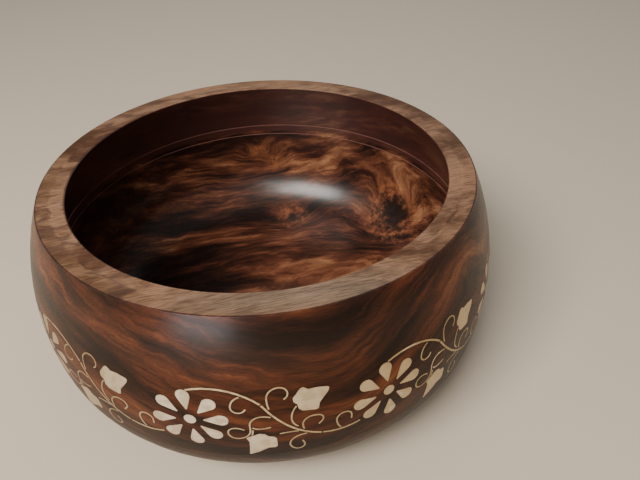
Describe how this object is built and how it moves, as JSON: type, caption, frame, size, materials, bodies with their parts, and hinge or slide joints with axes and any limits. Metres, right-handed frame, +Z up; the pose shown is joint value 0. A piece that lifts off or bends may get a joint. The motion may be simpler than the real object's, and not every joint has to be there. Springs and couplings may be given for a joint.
{
  "type": "inlaid wooden bowl",
  "caption": "Turned hardwood bowl with a flat rim and a band of brass flowers, leaves and curling wire let flush into its round belly.",
  "frame": {"origin": "centre of the flat foot, on the surface that the bowl rests on", "axes": "+Z up along the turning axis, +X to the right and -Y to the front as the bowl is usually seen"},
  "size_m": [0.2, 0.2, 0.088],
  "materials": {
    "wood": "oiled dark rosewood, satin, with near-black grain lines and knots",
    "brass": "satin brass, finely sanded flush with the wood"
  },
  "bodies": {
    "root": {"bowl_body": "wood", "flower_discs": "brass", "petals": "brass", "leaves_high": "brass", "leaves_low": "brass", "stem_first": "brass", "stem_middle": "brass", "stem_last": "brass", "curl_over": "brass", "curl_tall": "brass", "curl_double": "brass", "curl_leaf": "brass", "curl_low": "brass", "curl_end": "brass", "twig_inner": "brass", "twig_left": "brass", "stalk_high": "brass", "stalk_low": "brass"}
  },
  "joints": []
}
